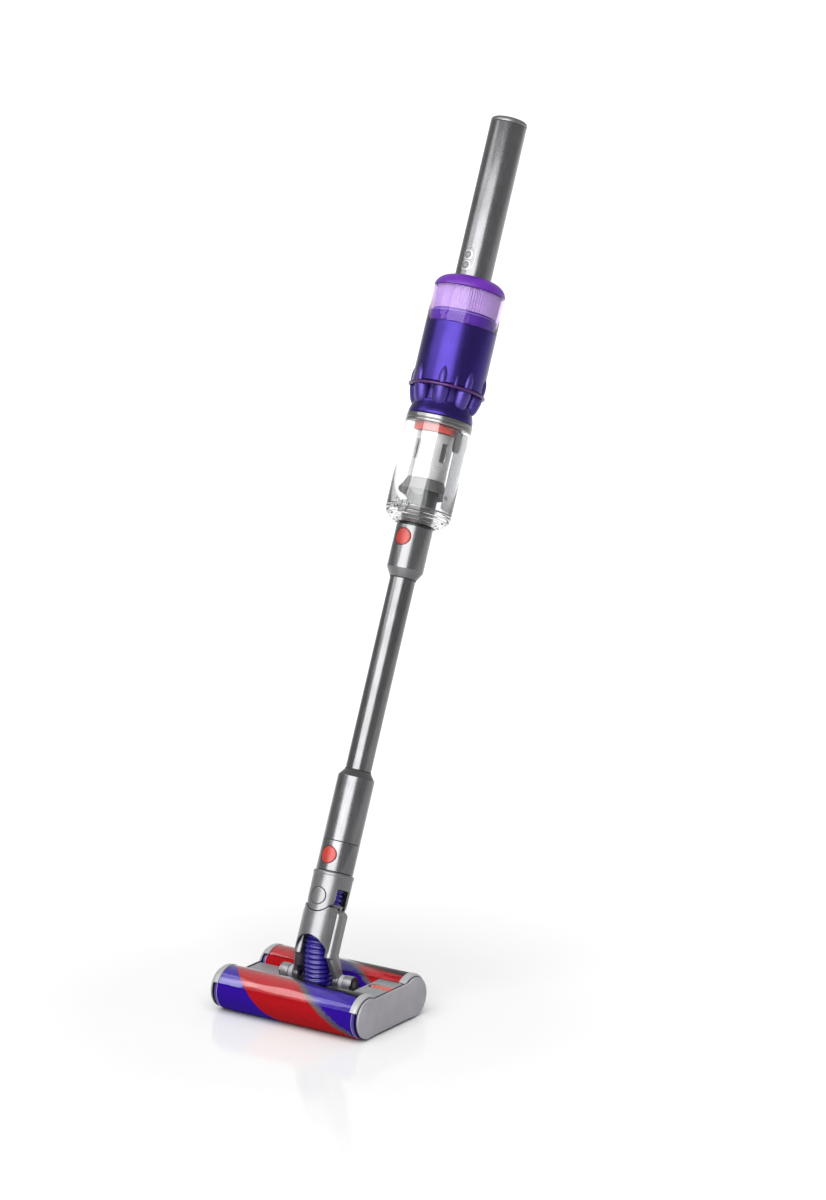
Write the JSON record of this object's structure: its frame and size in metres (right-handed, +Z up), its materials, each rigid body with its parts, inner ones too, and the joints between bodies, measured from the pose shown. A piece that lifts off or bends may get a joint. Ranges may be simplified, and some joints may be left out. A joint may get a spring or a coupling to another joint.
{
  "type": "cordless stick vacuum",
  "caption": "Cordless stick vacuum with a twin-roller floor head, jointed neck, slim wand, clear dust bin, violet cyclone body and an in-line tubular handle.",
  "frame": {"origin": "On the floor, under the pitch hinge of the neck, midway between the rollers and the end caps.", "axes": "+X along the rollers, from the fixed end cap to the removable one; +Y from the front roller towards the user; +Z up."},
  "size_m": [0.207, 0.4802, 1.0006],
  "materials": {
    "chassis_black": "moulded, fine texture",
    "deck_grey": "moulded, satin",
    "cap_grey": "moulded, satin",
    "clear_plastic": "clear polycarbonate, polished",
    "catch_red": "polished red",
    "roller_violet": "satin violet",
    "roller_nap": "short woven nylon pile in blue and red spirals with an anti-static bristle strip",
    "motor_metal": "machined",
    "pin_steel": "polished light grey",
    "screw_steel": "zinc plated",
    "castor_plastic": "moulded",
    "castor_rubber": "smooth",
    "neck_metal": "satin metallic grey",
    "hose_blue": "flexible corrugated",
    "inner_black": "moulded",
    "wand_metal": "anodised, satin",
    "rim_silver": "clear rim over a silver seal",
    "shroud_grey": "silver, polished",
    "body_violet": "metallic violet",
    "cyclone_violet": "metallic violet",
    "ring_magenta": "polished magenta violet",
    "filter_white": "pleated filter medium",
    "cap_purple": "transparent purple plastic",
    "panel_grey": "satin",
    "key_grey": "satin",
    "cell_wrap": "shrink sleeve"
  },
  "bodies": {
    "head": {"head_chassis": "chassis_black", "soleplate": "chassis_black", "left_deck": "deck_grey", "right_deck": "deck_grey", "front_window": "clear_plastic", "rear_window": "clear_plastic", "left_end_cap": "cap_grey", "hinge_pins": "pin_steel", "roller_motors": "motor_metal", "head_screws": "screw_steel"},
    "right_cap": {"right_end_cap": "cap_grey"},
    "cap_catch": {"end_cap_catch": "catch_red"},
    "front_roller": {"front_roller_core": "roller_violet", "front_roller_nap": "roller_nap"},
    "rear_roller": {"rear_roller_core": "roller_violet", "rear_roller_nap": "roller_nap"},
    "castor_1": {"castor_fork_1": "castor_plastic"},
    "castor_wheel_body_1": {"castor_wheel_1": "castor_rubber"},
    "castor_2": {"castor_fork_2": "castor_plastic"},
    "castor_wheel_body_2": {"castor_wheel_2": "castor_rubber"},
    "castor_3": {"castor_fork_3": "castor_plastic"},
    "castor_wheel_body_3": {"castor_wheel_3": "castor_rubber"},
    "castor_4": {"castor_fork_4": "castor_plastic"},
    "castor_wheel_body_4": {"castor_wheel_4": "castor_rubber"},
    "fork": {"fork_yoke": "neck_metal", "fork_front_shell": "neck_metal", "lower_hose": "hose_blue"},
    "neck": {"neck_tube": "neck_metal", "swing_pins": "neck_metal", "head_spigot": "inner_black", "upper_hose": "hose_blue"},
    "wand": {"lower_coupling": "neck_metal", "lower_collar": "neck_metal", "wand_tube": "wand_metal", "upper_collar": "neck_metal"},
    "head_button": {"head_release_button": "catch_red"},
    "wand_button": {"wand_release_button": "catch_red"},
    "hand_unit": {"inlet_tube": "inner_black", "red_ring": "catch_red", "shroud": "shroud_grey", "shroud_skirt": "shroud_grey", "cyclone_collar": "body_violet", "cyclone_cones": "cyclone_violet", "pod_ring": "ring_magenta", "motor_housing": "body_violet", "fan_motor": "motor_metal", "handle_tube": "neck_metal", "control_panel": "panel_grey", "battery_cells": "cell_wrap", "handle_end_cap": "neck_metal"},
    "bin": {"clear_bin": "clear_plastic", "bin_rim_ring": "rim_silver", "bin_base": "clear_plastic", "bin_latch": "clear_plastic", "bin_stop": "inner_black"},
    "fan": {"impeller": "inner_black"},
    "filter": {"filter_cap": "cap_purple", "filter_element": "filter_white"},
    "power_key": {"power_button": "key_grey"},
    "mode_key": {"mode_button": "key_grey"}
  },
  "joints": [
    {"name": "front_roller_spin", "type": "hinge", "parent": "head", "child": "front_roller", "pos_m": [0, -0.046, 0.025], "axis": [1, 0, 0], "continuous": true},
    {"name": "rear_roller_spin", "type": "hinge", "parent": "head", "child": "rear_roller", "pos_m": [0, 0.046, 0.025], "axis": [1, 0, 0], "continuous": true},
    {"name": "castor_swivel_1", "type": "hinge", "parent": "head", "child": "castor_1", "pos_m": [-0.078, -0.011, 0.012], "axis": [0, 0, 1], "continuous": true},
    {"name": "castor_roll_1", "type": "hinge", "parent": "castor_1", "child": "castor_wheel_body_1", "pos_m": [-0.078, -0.0075, 0.005], "axis": [1, 0, 0], "continuous": true},
    {"name": "castor_swivel_2", "type": "hinge", "parent": "head", "child": "castor_2", "pos_m": [0.078, -0.011, 0.012], "axis": [0, 0, 1], "continuous": true},
    {"name": "castor_roll_2", "type": "hinge", "parent": "castor_2", "child": "castor_wheel_body_2", "pos_m": [0.078, -0.0075, 0.005], "axis": [1, 0, 0], "continuous": true},
    {"name": "castor_swivel_3", "type": "hinge", "parent": "head", "child": "castor_3", "pos_m": [-0.078, 0.011, 0.012], "axis": [0, 0, 1], "continuous": true},
    {"name": "castor_roll_3", "type": "hinge", "parent": "castor_3", "child": "castor_wheel_body_3", "pos_m": [-0.078, 0.0145, 0.005], "axis": [1, 0, 0], "continuous": true},
    {"name": "castor_swivel_4", "type": "hinge", "parent": "head", "child": "castor_4", "pos_m": [0.078, 0.011, 0.012], "axis": [0, 0, 1], "continuous": true},
    {"name": "castor_roll_4", "type": "hinge", "parent": "castor_4", "child": "castor_wheel_body_4", "pos_m": [0.078, 0.0145, 0.005], "axis": [1, 0, 0], "continuous": true},
    {"name": "end_cap_off", "type": "slide", "parent": "head", "child": "right_cap", "axis": [1, 0, 0], "range_m": [0, 0.03]},
    {"name": "cap_catch_slide", "type": "slide", "parent": "head", "child": "cap_catch", "axis": [-1, 0, 0], "range_m": [0, 0.003], "stiffness_N_per_m": 400},
    {"name": "neck_pitch", "type": "hinge", "parent": "head", "child": "fork", "pos_m": [0, 0, 0.0424], "axis": [-1, 0, 0], "range_deg": [-23, 50], "deforming": ["lower_hose"]},
    {"name": "neck_swing", "type": "hinge", "parent": "fork", "child": "neck", "pos_m": [0, 0.01953, 0.13198], "axis": [0, -0.9184, 0.3955], "range_deg": [-40, 40], "deforming": ["upper_hose"]},
    {"name": "wand_off", "type": "slide", "parent": "neck", "child": "wand", "axis": [0, 0.3955, 0.9184], "range_m": [0, 0.05]},
    {"name": "head_release_press", "type": "slide", "parent": "wand", "child": "head_button", "axis": [0, 0.9184, -0.3955], "range_m": [0, 0.0015], "stiffness_N_per_m": 600},
    {"name": "wand_release_press", "type": "slide", "parent": "wand", "child": "wand_button", "axis": [0, 0.9184, -0.3955], "range_m": [0, 0.0015], "stiffness_N_per_m": 600},
    {"name": "hand_unit_off", "type": "slide", "parent": "wand", "child": "hand_unit", "axis": [0, 0.3955, 0.9184], "range_m": [0, 0.09]},
    {"name": "bin_slide", "type": "slide", "parent": "hand_unit", "child": "bin", "axis": [0, -0.3955, -0.9184], "range_m": [0, 0.045]},
    {"name": "filter_lift", "type": "slide", "parent": "hand_unit", "child": "filter", "axis": [0, 0.3955, 0.9184], "range_m": [0, 0.045]},
    {"name": "fan_spin", "type": "hinge", "parent": "hand_unit", "child": "fan", "pos_m": [0, 0.26279, 0.69683], "axis": [0, 0.3955, 0.9184], "continuous": true},
    {"name": "power_press", "type": "slide", "parent": "hand_unit", "child": "power_key", "axis": [0, 0.9184, -0.3955], "range_m": [0, 0.0008], "stiffness_N_per_m": 600},
    {"name": "mode_press", "type": "slide", "parent": "hand_unit", "child": "mode_key", "axis": [0, 0.9184, -0.3955], "range_m": [0, 0.0008], "stiffness_N_per_m": 600}
  ],
  "couplings": [
    {"joint": "rear_roller_spin", "follows": "front_roller_spin", "ratio": -1},
    {"joint": "bin_slide", "follows": "hand_unit_off", "ratio": 0.5}
  ]
}
